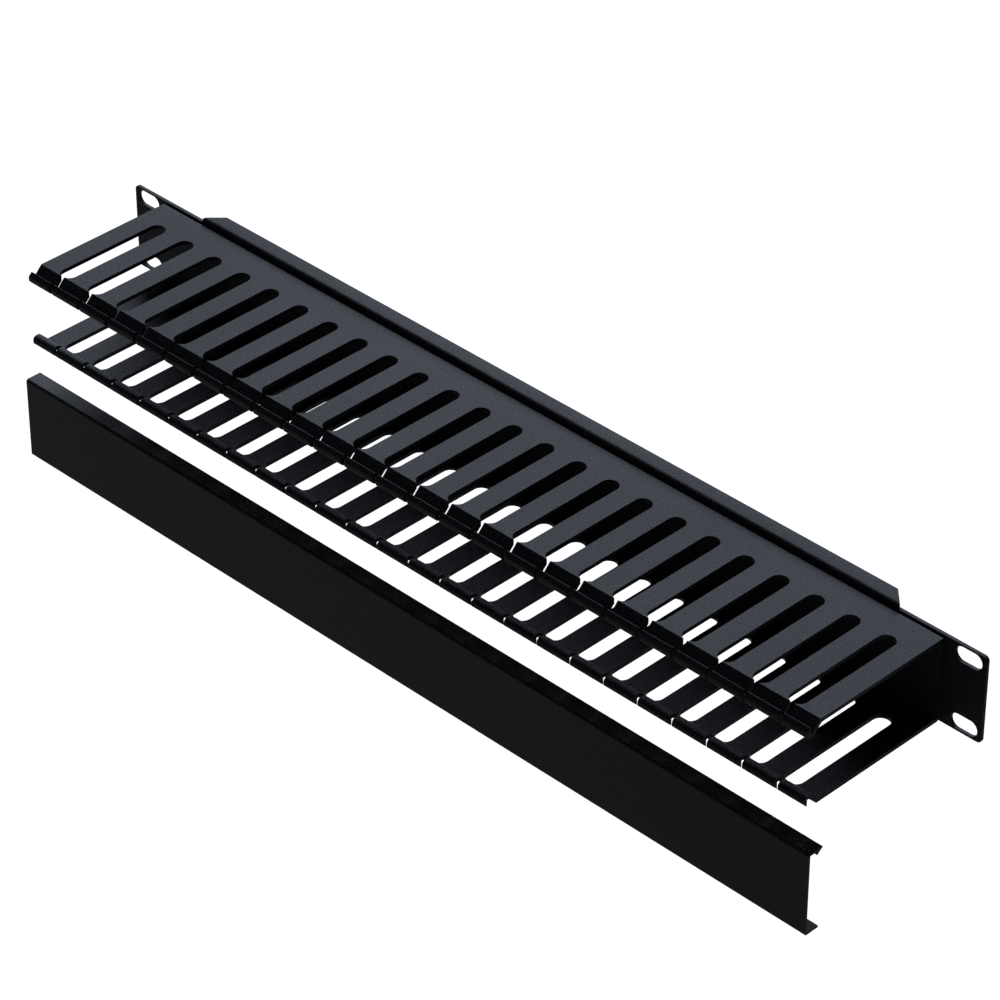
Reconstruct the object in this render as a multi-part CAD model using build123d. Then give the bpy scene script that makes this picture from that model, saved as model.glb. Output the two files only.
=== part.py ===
from build123d import *
import math
import os

# Driving dimensions in millimetres. X runs along the rack panel, Y into the rack and Z up.
# The origin is the centre of the bolt pattern, on the plane where the ears meet the rack rails.

# Rack panel: one folded sheet with an ear at each end
panel_sheet = 1.5
panel_width = 482.6
ear_height = 40.8
ear_corner_radius = 2.0
bolt_edge_margin = 8.75
bolt_spacing_up = 31.75
bolt_slot_length = 13.2
bolt_slot_height = 7.2
flanged_length = 395.0
flanged_height = 44.4
flange_reach = 7.9
flange_square_end = 0.8
flange_corner_radius = 0.6
panel_fold_inside = 0.3

# Finger channel: one folded and slotted sheet, open at the front and at both ends
channel_sheet = 1.9
channel_height = 39.8
channel_depth = 78.0
channel_fold_inside = 0.3
slot_count = 24
slot_pitch = 18.0
slot_width = 8.0
end_finger_width = 10.0
slot_rear_margin = 14.0
slit_width = 1.9

# Lips folded down, round and up again along the front edges of the fingers
lip_depth = 7.25
lip_groove_depth = 4.5
lip_end_setback = 1.4
lip_end_chamfer = 1.7

# Cover: one folded sheet that hooks into the upper lips and closes under the lower ones
cover_sheet = 1.0
cover_length = 452.0
cover_front_clearance = 0.5
cover_under_clearance = 0.3
cover_fold_inside = 0.2
cover_top_depth = 8.3
cover_bottom_depth = 7.5
cover_hook_length = 4.4
cover_hook_angle = 40.0
cover_hook_fold_radius = 0.2
cover_hook_end_radius = 0.4
cover_drop = 57.1

# Places that follow from the sizes above
panel_front = -panel_sheet
bolt_spacing_across = panel_width - 2 * bolt_edge_margin
panel_top = flanged_height / 2
flange_rear = panel_front + flange_reach
channel_back = panel_front
channel_top = channel_height / 2
channel_length = slot_pitch * (slot_count - 1) + slot_width + 2 * end_finger_width
channel_front = channel_back - channel_depth
lip_leg_back = channel_front + channel_sheet
lip_bend = channel_front + lip_depth
lip_floor = channel_top - lip_groove_depth
lip_end = channel_top - lip_end_setback
cover_front = channel_front - cover_front_clearance - cover_sheet
cover_bottom = -(lip_end + cover_under_clearance + cover_sheet)


def mirrored(points):
    """Follow points above the middle by their mirror images below it."""
    return points + [(y, -z) for y, z in reversed(points)]


def folded_sheet(points, radii, sheet, side):
    """Make a folded sheet's section in the Y-Z plane from the corners of one of its faces."""
    face_line = Plane.YZ * FilletPolyline(*points, radius=radii)
    return make_face(offset(face_line, sheet, side=side))


def along_panel(profile, length):
    """Extrude a section evenly to both sides of the middle of the panel."""
    return extrude(profile, length / 2, both=True)


# Rack panel: the flanged middle
panel_bend = panel_sheet + panel_fold_inside
panel_corners = mirrored([(flange_rear, panel_top), (panel_front, panel_top)])
panel_section = folded_sheet(panel_corners, [panel_bend, panel_bend], panel_sheet, Side.RIGHT)
flanged_middle = along_panel(panel_section, flanged_length)

# Both flanges run in at 45 degrees towards their rear corners
flange_end = flanged_length / 2
mitre_start = panel_front + flange_square_end
flange_corner = flange_end - (flange_rear - mitre_start)
flange_outline = Polyline(
    (flange_end, panel_front),
    (flange_end, mitre_start),
    (flange_corner, flange_rear),
    (-flange_corner, flange_rear),
    (-flange_end, mitre_start),
    (-flange_end, panel_front),
    close=True,
)
flange_plan = make_face(flange_outline)
flange_plan = fillet(flange_plan.vertices().group_by(Axis.Y)[-1], flange_corner_radius)
flanged_middle &= extrude(flange_plan, flanged_height, both=True)

# Ears with round-ended slots for the rack screws
ears = RectangleRounded(panel_width, ear_height, ear_corner_radius)
ears -= Rectangle(flanged_length, ear_height)
bolt_slot = SlotOverall(bolt_slot_length, bolt_slot_height)
ears -= GridLocations(bolt_spacing_across, bolt_spacing_up, 2, 2) * bolt_slot
ears = extrude(Plane.XZ * ears, panel_sheet)
rack_panel = flanged_middle + ears

# Finger channel: web, two plates and the lips, whose slopes go down and forward at 45 degrees
channel_bend = channel_sheet + channel_fold_inside
upper_corners = [
    (lip_leg_back, lip_end),
    (lip_leg_back, lip_floor),
    (lip_bend - lip_groove_depth, lip_floor),
    (lip_bend, channel_top),
    (channel_back, channel_top),
]
upper_radii = [0, 0, 0, channel_bend]
channel_radii = upper_radii + upper_radii[::-1]
channel_section = folded_sheet(mirrored(upper_corners), channel_radii, channel_sheet, Side.LEFT)
front_corners = channel_section.vertices().group_by(Axis.Y)[0].sort_by(Axis.Z)
channel_section = chamfer([front_corners[0], front_corners[-1]], lip_end_chamfer)
finger_channel = along_panel(channel_section, channel_length)

# Each gap between fingers is a round-ended slot that goes on as a slit through the lips
slot_rear = channel_back - slot_rear_margin
slot_round_end = lip_bend + slot_width / 2
slit_front = channel_front - channel_sheet
finger_slot = SlotOverall(slot_rear - lip_bend, slot_width, rotation=90)
finger_slit = Rectangle(slit_width, slot_round_end - slit_front)
finger_gap = Pos(0, (slot_rear + lip_bend) / 2) * finger_slot
finger_gap += Pos(0, (slot_round_end + slit_front) / 2) * finger_slit
finger_gap = extrude(finger_gap, channel_height, both=True)
finger_channel -= GridLocations(slot_pitch, 0, slot_count, 1) * finger_gap

# Cover, drawn level with the channel and then set down in front of it, taken off
cover_bend = cover_sheet + cover_fold_inside
cover_top_rear = cover_front + cover_top_depth
hook_angle = math.radians(cover_hook_angle)
hook_end = (
    cover_top_rear - cover_hook_length * math.cos(hook_angle),
    channel_top - cover_hook_length * math.sin(hook_angle),
)
cover_corners = [
    (cover_front + cover_bottom_depth, cover_bottom),
    (cover_front, cover_bottom),
    (cover_front, channel_top),
    (cover_top_rear, channel_top),
    hook_end,
]
cover_radii = [cover_bend, cover_bend, cover_hook_fold_radius]
cover_section = folded_sheet(cover_corners, cover_radii, cover_sheet, Side.RIGHT)
hook_corners = cover_section.vertices().sort_by_distance((0, *hook_end))[:2]
cover_section = fillet(hook_corners, cover_hook_end_radius)
cover = Pos(0, 0, -cover_drop) * along_panel(cover_section, cover_length)

os.makedirs("parts", exist_ok=True)
export_step(rack_panel, "parts/rack_panel.step")
export_step(finger_channel, "parts/finger_channel.step")
export_step(cover, "parts/cover.step")
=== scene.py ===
import math

import bmesh
import bpy
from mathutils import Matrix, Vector


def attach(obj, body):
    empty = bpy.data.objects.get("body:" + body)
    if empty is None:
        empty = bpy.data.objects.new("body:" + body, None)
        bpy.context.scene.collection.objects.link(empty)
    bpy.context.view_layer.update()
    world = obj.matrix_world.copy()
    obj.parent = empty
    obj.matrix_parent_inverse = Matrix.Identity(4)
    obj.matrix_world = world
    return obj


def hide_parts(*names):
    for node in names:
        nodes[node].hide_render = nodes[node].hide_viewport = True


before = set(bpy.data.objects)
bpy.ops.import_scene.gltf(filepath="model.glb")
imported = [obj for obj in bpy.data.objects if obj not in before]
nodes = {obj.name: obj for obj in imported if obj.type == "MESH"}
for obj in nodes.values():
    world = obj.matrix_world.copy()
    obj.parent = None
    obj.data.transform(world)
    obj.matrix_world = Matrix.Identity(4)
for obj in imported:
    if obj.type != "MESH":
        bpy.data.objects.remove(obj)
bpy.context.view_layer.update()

print("frame loaded:", sorted(nodes))


def socketLink(tree, fromSocket, toSocket):
    tree.links.new(fromSocket, toSocket)


def addNode(tree, kind, place, **values):
    node = tree.nodes.new(kind)
    node.location = place
    for name, value in values.items():
        setattr(node, name, value)
    return node


# Grain shared by every coated sheet: fine orange peel on longer waves, and a slow drift of the gloss
grainSettings = {
    "grainDetail": 3.0,
    "grainRoughness": 0.6,
    "waveDetail": 2.0,
    "waveShare": 0.35,
    "driftScale": 14.0,
    "driftDetail": 2.0,
    "middle": 0.5,
}


def makeCoatGrain(settings):
    group = bpy.data.node_groups.new("coatGrain", "ShaderNodeTree")
    group.interface.new_socket("Vector", in_out="INPUT", socket_type="NodeSocketVector")
    for name in ("Grain Scale", "Wave Scale", "Fleck"):
        group.interface.new_socket(name, in_out="INPUT", socket_type="NodeSocketFloat")
    for name in ("Height", "Fleck", "Drift"):
        group.interface.new_socket(name, in_out="OUTPUT", socket_type="NodeSocketFloat")
    ins = addNode(group, "NodeGroupInput", (-900, 0))
    outs = addNode(group, "NodeGroupOutput", (700, 0))

    grain = addNode(group, "ShaderNodeTexNoise", (-600, 250))
    grain.inputs["Detail"].default_value = settings["grainDetail"]
    grain.inputs["Roughness"].default_value = settings["grainRoughness"]
    socketLink(group, ins.outputs["Vector"], grain.inputs["Vector"])
    socketLink(group, ins.outputs["Grain Scale"], grain.inputs["Scale"])

    wave = addNode(group, "ShaderNodeTexNoise", (-600, 0))
    wave.inputs["Detail"].default_value = settings["waveDetail"]
    socketLink(group, ins.outputs["Vector"], wave.inputs["Vector"])
    socketLink(group, ins.outputs["Wave Scale"], wave.inputs["Scale"])

    drift = addNode(group, "ShaderNodeTexNoise", (-600, -250))
    drift.inputs["Scale"].default_value = settings["driftScale"]
    drift.inputs["Detail"].default_value = settings["driftDetail"]
    socketLink(group, ins.outputs["Vector"], drift.inputs["Vector"])
    socketLink(group, drift.outputs["Fac"], outs.inputs["Drift"])

    height = addNode(group, "ShaderNodeMath", (-200, 200), operation="MULTIPLY_ADD")
    height.inputs[1].default_value = settings["waveShare"]
    socketLink(group, wave.outputs["Fac"], height.inputs[0])
    socketLink(group, grain.outputs["Fac"], height.inputs[2])
    socketLink(group, height.outputs[0], outs.inputs["Height"])

    # Grain above the middle gives lighter flecks, below it darker ones
    centred = addNode(group, "ShaderNodeMath", (-200, -50), operation="SUBTRACT")
    centred.inputs[1].default_value = settings["middle"]
    socketLink(group, grain.outputs["Fac"], centred.inputs[0])
    fleck = addNode(group, "ShaderNodeMath", (50, -50), operation="MULTIPLY_ADD")
    fleck.inputs[2].default_value = settings["middle"]
    socketLink(group, centred.outputs[0], fleck.inputs[0])
    socketLink(group, ins.outputs["Fleck"], fleck.inputs[1])
    socketLink(group, fleck.outputs[0], outs.inputs["Fleck"])
    return group


coatGrain = makeCoatGrain(grainSettings)

# Powder coat of each sheet. The cover's is a little more even than that of the panel and the channel.
coatSettings = {
    "rack_panel": {
        "name": "panelPowderCoat",
        "dark": (0.014, 0.0145, 0.016),
        "light": (0.036, 0.0374, 0.0412),
        "roughLow": 0.48,
        "roughHigh": 0.58,
        "specular": 0.02,
        "grainScale": 1100.0,
        "waveScale": 260.0,
        "fleck": 2.2,
        "bumpStrength": 0.8,
        "bumpDistance": 0.0002,
    },
    "finger_channel": {
        "name": "channelPowderCoat",
        "dark": (0.014, 0.0145, 0.016),
        "light": (0.036, 0.0374, 0.0412),
        "roughLow": 0.48,
        "roughHigh": 0.58,
        "specular": 0.02,
        "grainScale": 1100.0,
        "waveScale": 260.0,
        "fleck": 2.2,
        "bumpStrength": 0.9,
        "bumpDistance": 0.0002,
    },
    "cover": {
        "name": "coverPowderCoat",
        "dark": (0.018, 0.0182, 0.019),
        "light": (0.034, 0.0345, 0.036),
        "roughLow": 0.5,
        "roughHigh": 0.56,
        "specular": 0.027,
        "grainScale": 1100.0,
        "waveScale": 260.0,
        "fleck": 1.4,
        "bumpStrength": 0.4,
        "bumpDistance": 0.0002,
    },
}


def makeCoat(settings):
    material = bpy.data.materials.new(settings["name"])
    material.use_nodes = True
    tree = material.node_tree
    tree.nodes.clear()
    output = addNode(tree, "ShaderNodeOutputMaterial", (700, 0))
    paint = addNode(tree, "ShaderNodeBsdfPrincipled", (400, 0))
    paint.inputs["Specular IOR Level"].default_value = settings["specular"]
    socketLink(tree, paint.outputs[0], output.inputs["Surface"])

    where = addNode(tree, "ShaderNodeTexCoord", (-900, 0))
    grain = addNode(tree, "ShaderNodeGroup", (-650, 0))
    grain.node_tree = coatGrain
    grain.inputs["Grain Scale"].default_value = settings["grainScale"]
    grain.inputs["Wave Scale"].default_value = settings["waveScale"]
    grain.inputs["Fleck"].default_value = settings["fleck"]
    socketLink(tree, where.outputs["Object"], grain.inputs["Vector"])

    colour = addNode(tree, "ShaderNodeMix", (-300, 200), data_type="RGBA", clamp_factor=True)
    colour.inputs["A"].default_value = (*settings["dark"], 1)
    colour.inputs["B"].default_value = (*settings["light"], 1)
    socketLink(tree, grain.outputs["Fleck"], colour.inputs["Factor"])
    socketLink(tree, colour.outputs["Result"], paint.inputs["Base Color"])

    rough = addNode(tree, "ShaderNodeMapRange", (-300, -50))
    rough.inputs["To Min"].default_value = settings["roughLow"]
    rough.inputs["To Max"].default_value = settings["roughHigh"]
    socketLink(tree, grain.outputs["Drift"], rough.inputs["Value"])
    socketLink(tree, rough.outputs["Result"], paint.inputs["Roughness"])

    bump = addNode(tree, "ShaderNodeBump", (-300, -350))
    bump.inputs["Strength"].default_value = settings["bumpStrength"]
    bump.inputs["Distance"].default_value = settings["bumpDistance"]
    socketLink(tree, grain.outputs["Height"], bump.inputs["Height"])
    socketLink(tree, bump.outputs["Normal"], paint.inputs["Normal"])
    return material


for nodeName, settings in coatSettings.items():
    sheetMesh = nodes[nodeName].data
    sheetMesh.materials.clear()
    sheetMesh.materials.append(makeCoat(settings))
    print("powder coat on", nodeName)

# The panel that is seen is a merged copy. Its rear face runs on flat from the flanged middle into the ears,
# where the solid's has a fine upright groove on each side. Places are in metres.
panelSettings = {
    "mergeWithin": 0.000001,
    "grooveInner": 0.1966,
    "grooveOuter": 0.1976,
    "grooveDepth": 0.0009,
    "grooveHalfHeight": 0.02045,
    "rimHalfHeight": 0.020405,
    "rearWithin": 0.00001,
    "sharpAngle": 0.6,
}


def inGroove(point):
    across = panelSettings["grooveInner"] < abs(point.x) < panelSettings["grooveOuter"]
    deep = point.y > -panelSettings["grooveDepth"]
    return across and deep and abs(point.z) < panelSettings["grooveHalfHeight"]


# Corners of the groove's mouth on the panel's rear face
def onRim(point, side):
    onRear = abs(point.y) < panelSettings["rearWithin"]
    between = abs(point.z) < panelSettings["rimHalfHeight"]
    return inGroove(point) and onRear and between and point.x * side > 0


panelCopy = bmesh.new()
panelCopy.from_mesh(nodes["rack_panel"].data)
bmesh.ops.remove_doubles(panelCopy, verts=panelCopy.verts, dist=panelSettings["mergeWithin"])
grooveFaces = [
    face
    for face in panelCopy.faces
    if inGroove(face.calc_center_median()) and all(inGroove(vert.co) for vert in face.verts)
]
bmesh.ops.delete(panelCopy, geom=grooveFaces, context="FACES")
for side in (-1, 1):
    rim = [vert for vert in panelCopy.verts if onRim(vert.co, side)]
    bmesh.ops.contextual_create(panelCopy, geom=rim)
openEdges = [edge for edge in panelCopy.edges if edge.is_boundary]
bmesh.ops.holes_fill(panelCopy, edges=openEdges, sides=0)
bmesh.ops.recalc_face_normals(panelCopy, faces=panelCopy.faces)
for face in panelCopy.faces:
    face.smooth = True
for edge in panelCopy.edges:
    edge.smooth = edge.calc_face_angle(math.pi) < panelSettings["sharpAngle"]
openCount = sum(not edge.is_manifold for edge in panelCopy.edges)
print("panel copy:", len(grooveFaces), "groove faces closed,", openCount, "open edges")

panelData = bpy.data.meshes.new("rackPanelSheet")
panelCopy.to_mesh(panelData)
panelCopy.free()
panelData.materials.append(nodes["rack_panel"].data.materials[0])
rackPanelSheet = bpy.data.objects.new("rackPanelSheet", panelData)
bpy.context.scene.collection.objects.link(rackPanelSheet)
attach(rackPanelSheet, "mounted")
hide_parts("rack_panel")

# Floor far below the part, which hangs by its ears. It glows white where it is seen or mirrored.
floorSettings = {
    "size": 12.0,
    "level": -0.35,
    "shownColour": (0.16, 0.16, 0.16, 1),
    "bounceColour": (0.15, 0.15, 0.15, 1),
    "glow": 0.9,
}
floorMesh = bmesh.new()
bmesh.ops.create_grid(floorMesh, x_segments=1, y_segments=1, size=floorSettings["size"] / 2)
bmesh.ops.translate(floorMesh, verts=floorMesh.verts, vec=(0, 0, floorSettings["level"]))
floorData = bpy.data.meshes.new("studioFloor")
floorMesh.to_mesh(floorData)
floorMesh.free()
studioFloor = bpy.data.objects.new("studioFloor", floorData)
bpy.context.scene.collection.objects.link(studioFloor)


def makeFloorMaterial(settings):
    material = bpy.data.materials.new("paleFloor")
    material.use_nodes = True
    tree = material.node_tree
    tree.nodes.clear()
    output = addNode(tree, "ShaderNodeOutputMaterial", (900, 0))
    both = addNode(tree, "ShaderNodeAddShader", (700, 0))
    diffuse = addNode(tree, "ShaderNodeBsdfDiffuse", (400, 150))
    glow = addNode(tree, "ShaderNodeEmission", (400, -150))

    # One for a ray from the camera, off gloss or through glass, and nought for any other
    path = addNode(tree, "ShaderNodeLightPath", (-600, 0))
    seen = addNode(tree, "ShaderNodeMath", (-400, 0), operation="MAXIMUM")
    shown = addNode(tree, "ShaderNodeMath", (-200, 0), operation="MAXIMUM")
    socketLink(tree, path.outputs["Is Camera Ray"], seen.inputs[0])
    socketLink(tree, path.outputs["Is Glossy Ray"], seen.inputs[1])
    socketLink(tree, seen.outputs[0], shown.inputs[0])
    socketLink(tree, path.outputs["Is Transmission Ray"], shown.inputs[1])

    colour = addNode(tree, "ShaderNodeMix", (150, 150), data_type="RGBA")
    colour.inputs["A"].default_value = settings["bounceColour"]
    colour.inputs["B"].default_value = settings["shownColour"]
    socketLink(tree, shown.outputs[0], colour.inputs["Factor"])
    socketLink(tree, colour.outputs["Result"], diffuse.inputs["Color"])

    strength = addNode(tree, "ShaderNodeMath", (150, -150), operation="MULTIPLY")
    strength.inputs[1].default_value = settings["glow"]
    socketLink(tree, shown.outputs[0], strength.inputs[0])
    socketLink(tree, strength.outputs[0], glow.inputs["Strength"])
    socketLink(tree, diffuse.outputs[0], both.inputs[0])
    socketLink(tree, glow.outputs[0], both.inputs[1])
    socketLink(tree, both.outputs[0], output.inputs["Surface"])
    return material


studioFloor.data.materials.append(makeFloorMaterial(floorSettings))
print("floor ready")

# White for the camera, and for reflections up to a dark studio ceiling, with a low fill elsewhere
worldSettings = {
    "shown": 1.0,
    "fill": 0.018,
    "fillColour": (0.8, 0.88, 1.0, 1),
    "ceilingStarts": -0.05,
    "ceilingDark": 0.08,
}


def makeWorld(settings):
    world = bpy.data.worlds.new("studioWorld")
    world.use_nodes = True
    tree = world.node_tree
    tree.nodes.clear()
    output = addNode(tree, "ShaderNodeOutputWorld", (900, 0))
    fillOrWhite = addNode(tree, "ShaderNodeMixShader", (700, 0))
    fill = addNode(tree, "ShaderNodeBackground", (400, 150))
    fill.inputs["Color"].default_value = settings["fillColour"]
    fill.inputs["Strength"].default_value = settings["fill"]
    white = addNode(tree, "ShaderNodeBackground", (400, -150))
    white.inputs["Color"].default_value = (1, 1, 1, 1)
    white.inputs["Strength"].default_value = settings["shown"]

    where = addNode(tree, "ShaderNodeTexCoord", (-1000, -400))
    upward = addNode(tree, "ShaderNodeSeparateXYZ", (-800, -400))
    ceiling = addNode(tree, "ShaderNodeMapRange", (-600, -400))
    ceiling.inputs["From Min"].default_value = settings["ceilingStarts"]
    ceiling.inputs["From Max"].default_value = settings["ceilingDark"]
    ceiling.inputs["To Min"].default_value = 1.0
    ceiling.inputs["To Max"].default_value = 0.0
    socketLink(tree, where.outputs["Generated"], upward.inputs[0])
    socketLink(tree, upward.outputs["Z"], ceiling.inputs["Value"])

    path = addNode(tree, "ShaderNodeLightPath", (-1000, 0))
    mirrored = addNode(tree, "ShaderNodeMath", (-300, -300), operation="MULTIPLY")
    socketLink(tree, path.outputs["Is Glossy Ray"], mirrored.inputs[0])
    socketLink(tree, ceiling.outputs["Result"], mirrored.inputs[1])
    seen = addNode(tree, "ShaderNodeMath", (-100, 0), operation="MAXIMUM")
    socketLink(tree, path.outputs["Is Camera Ray"], seen.inputs[0])
    socketLink(tree, path.outputs["Is Transmission Ray"], seen.inputs[1])
    shown = addNode(tree, "ShaderNodeMath", (100, 0), operation="MAXIMUM")
    socketLink(tree, seen.outputs[0], shown.inputs[0])
    socketLink(tree, mirrored.outputs[0], shown.inputs[1])

    socketLink(tree, shown.outputs[0], fillOrWhite.inputs["Fac"])
    socketLink(tree, fill.outputs[0], fillOrWhite.inputs[1])
    socketLink(tree, white.outputs[0], fillOrWhite.inputs[2])
    socketLink(tree, fillOrWhite.outputs[0], output.inputs["Surface"])
    return world


bpy.context.scene.world = makeWorld(worldSettings)
print("surroundings ready")

# A large cool key from behind and above, and a weak warm lamp in front
lampSettings = {
    "key": {
        "from": (-0.98, 1.32, 1.0),
        "distance": 8.0,
        "size": 5.6,
        "watts": 1530.0,
        "colour": (0.8, 0.87, 1.0),
    },
    "front": {
        "from": (0.35, -1.0, 0.3),
        "distance": 6.0,
        "size": 5.0,
        "watts": 10.0,
        "colour": (1.0, 0.98, 0.95),
    },
}
lookAt = Vector((0.0, -0.04, -0.02))
for lampName, values in lampSettings.items():
    lampData = bpy.data.lights.new(lampName, "AREA")
    lampData.shape = "DISK"
    lampData.size = values["size"]
    lampData.energy = values["watts"]
    lampData.color = values["colour"]
    direction = Vector(values["from"]).normalized()
    lamp = bpy.data.objects.new(lampName, lampData)
    lamp.location = lookAt + direction * values["distance"]
    lamp.rotation_euler = direction.to_track_quat("Z", "Y").to_euler()
    bpy.context.scene.collection.objects.link(lamp)
print("lamps ready")

# Camera fitted to the photograph, which looks down on the part from its right
cameraSettings = {
    "place": (1.038602, -1.056274, 1.018998),
    "turn": (54.7356, 0.0, 45.0),  # degrees
    "lens": 158.67,  # mm, as the sensor
    "sensor": 36.0,
    "clipStart": 0.05,
    "clipEnd": 50.0,
}
cameraData = bpy.data.cameras.new("photoCamera")
cameraData.sensor_width = cameraSettings["sensor"]
cameraData.lens = cameraSettings["lens"]
cameraData.clip_start = cameraSettings["clipStart"]
cameraData.clip_end = cameraSettings["clipEnd"]
photoCamera = bpy.data.objects.new("photoCamera", cameraData)
photoCamera.location = cameraSettings["place"]
photoCamera.rotation_euler = [math.radians(angle) for angle in cameraSettings["turn"]]
bpy.context.scene.collection.objects.link(photoCamera)
bpy.context.scene.camera = photoCamera
bpy.context.scene.view_settings.view_transform = "Standard"
print("camera ready")
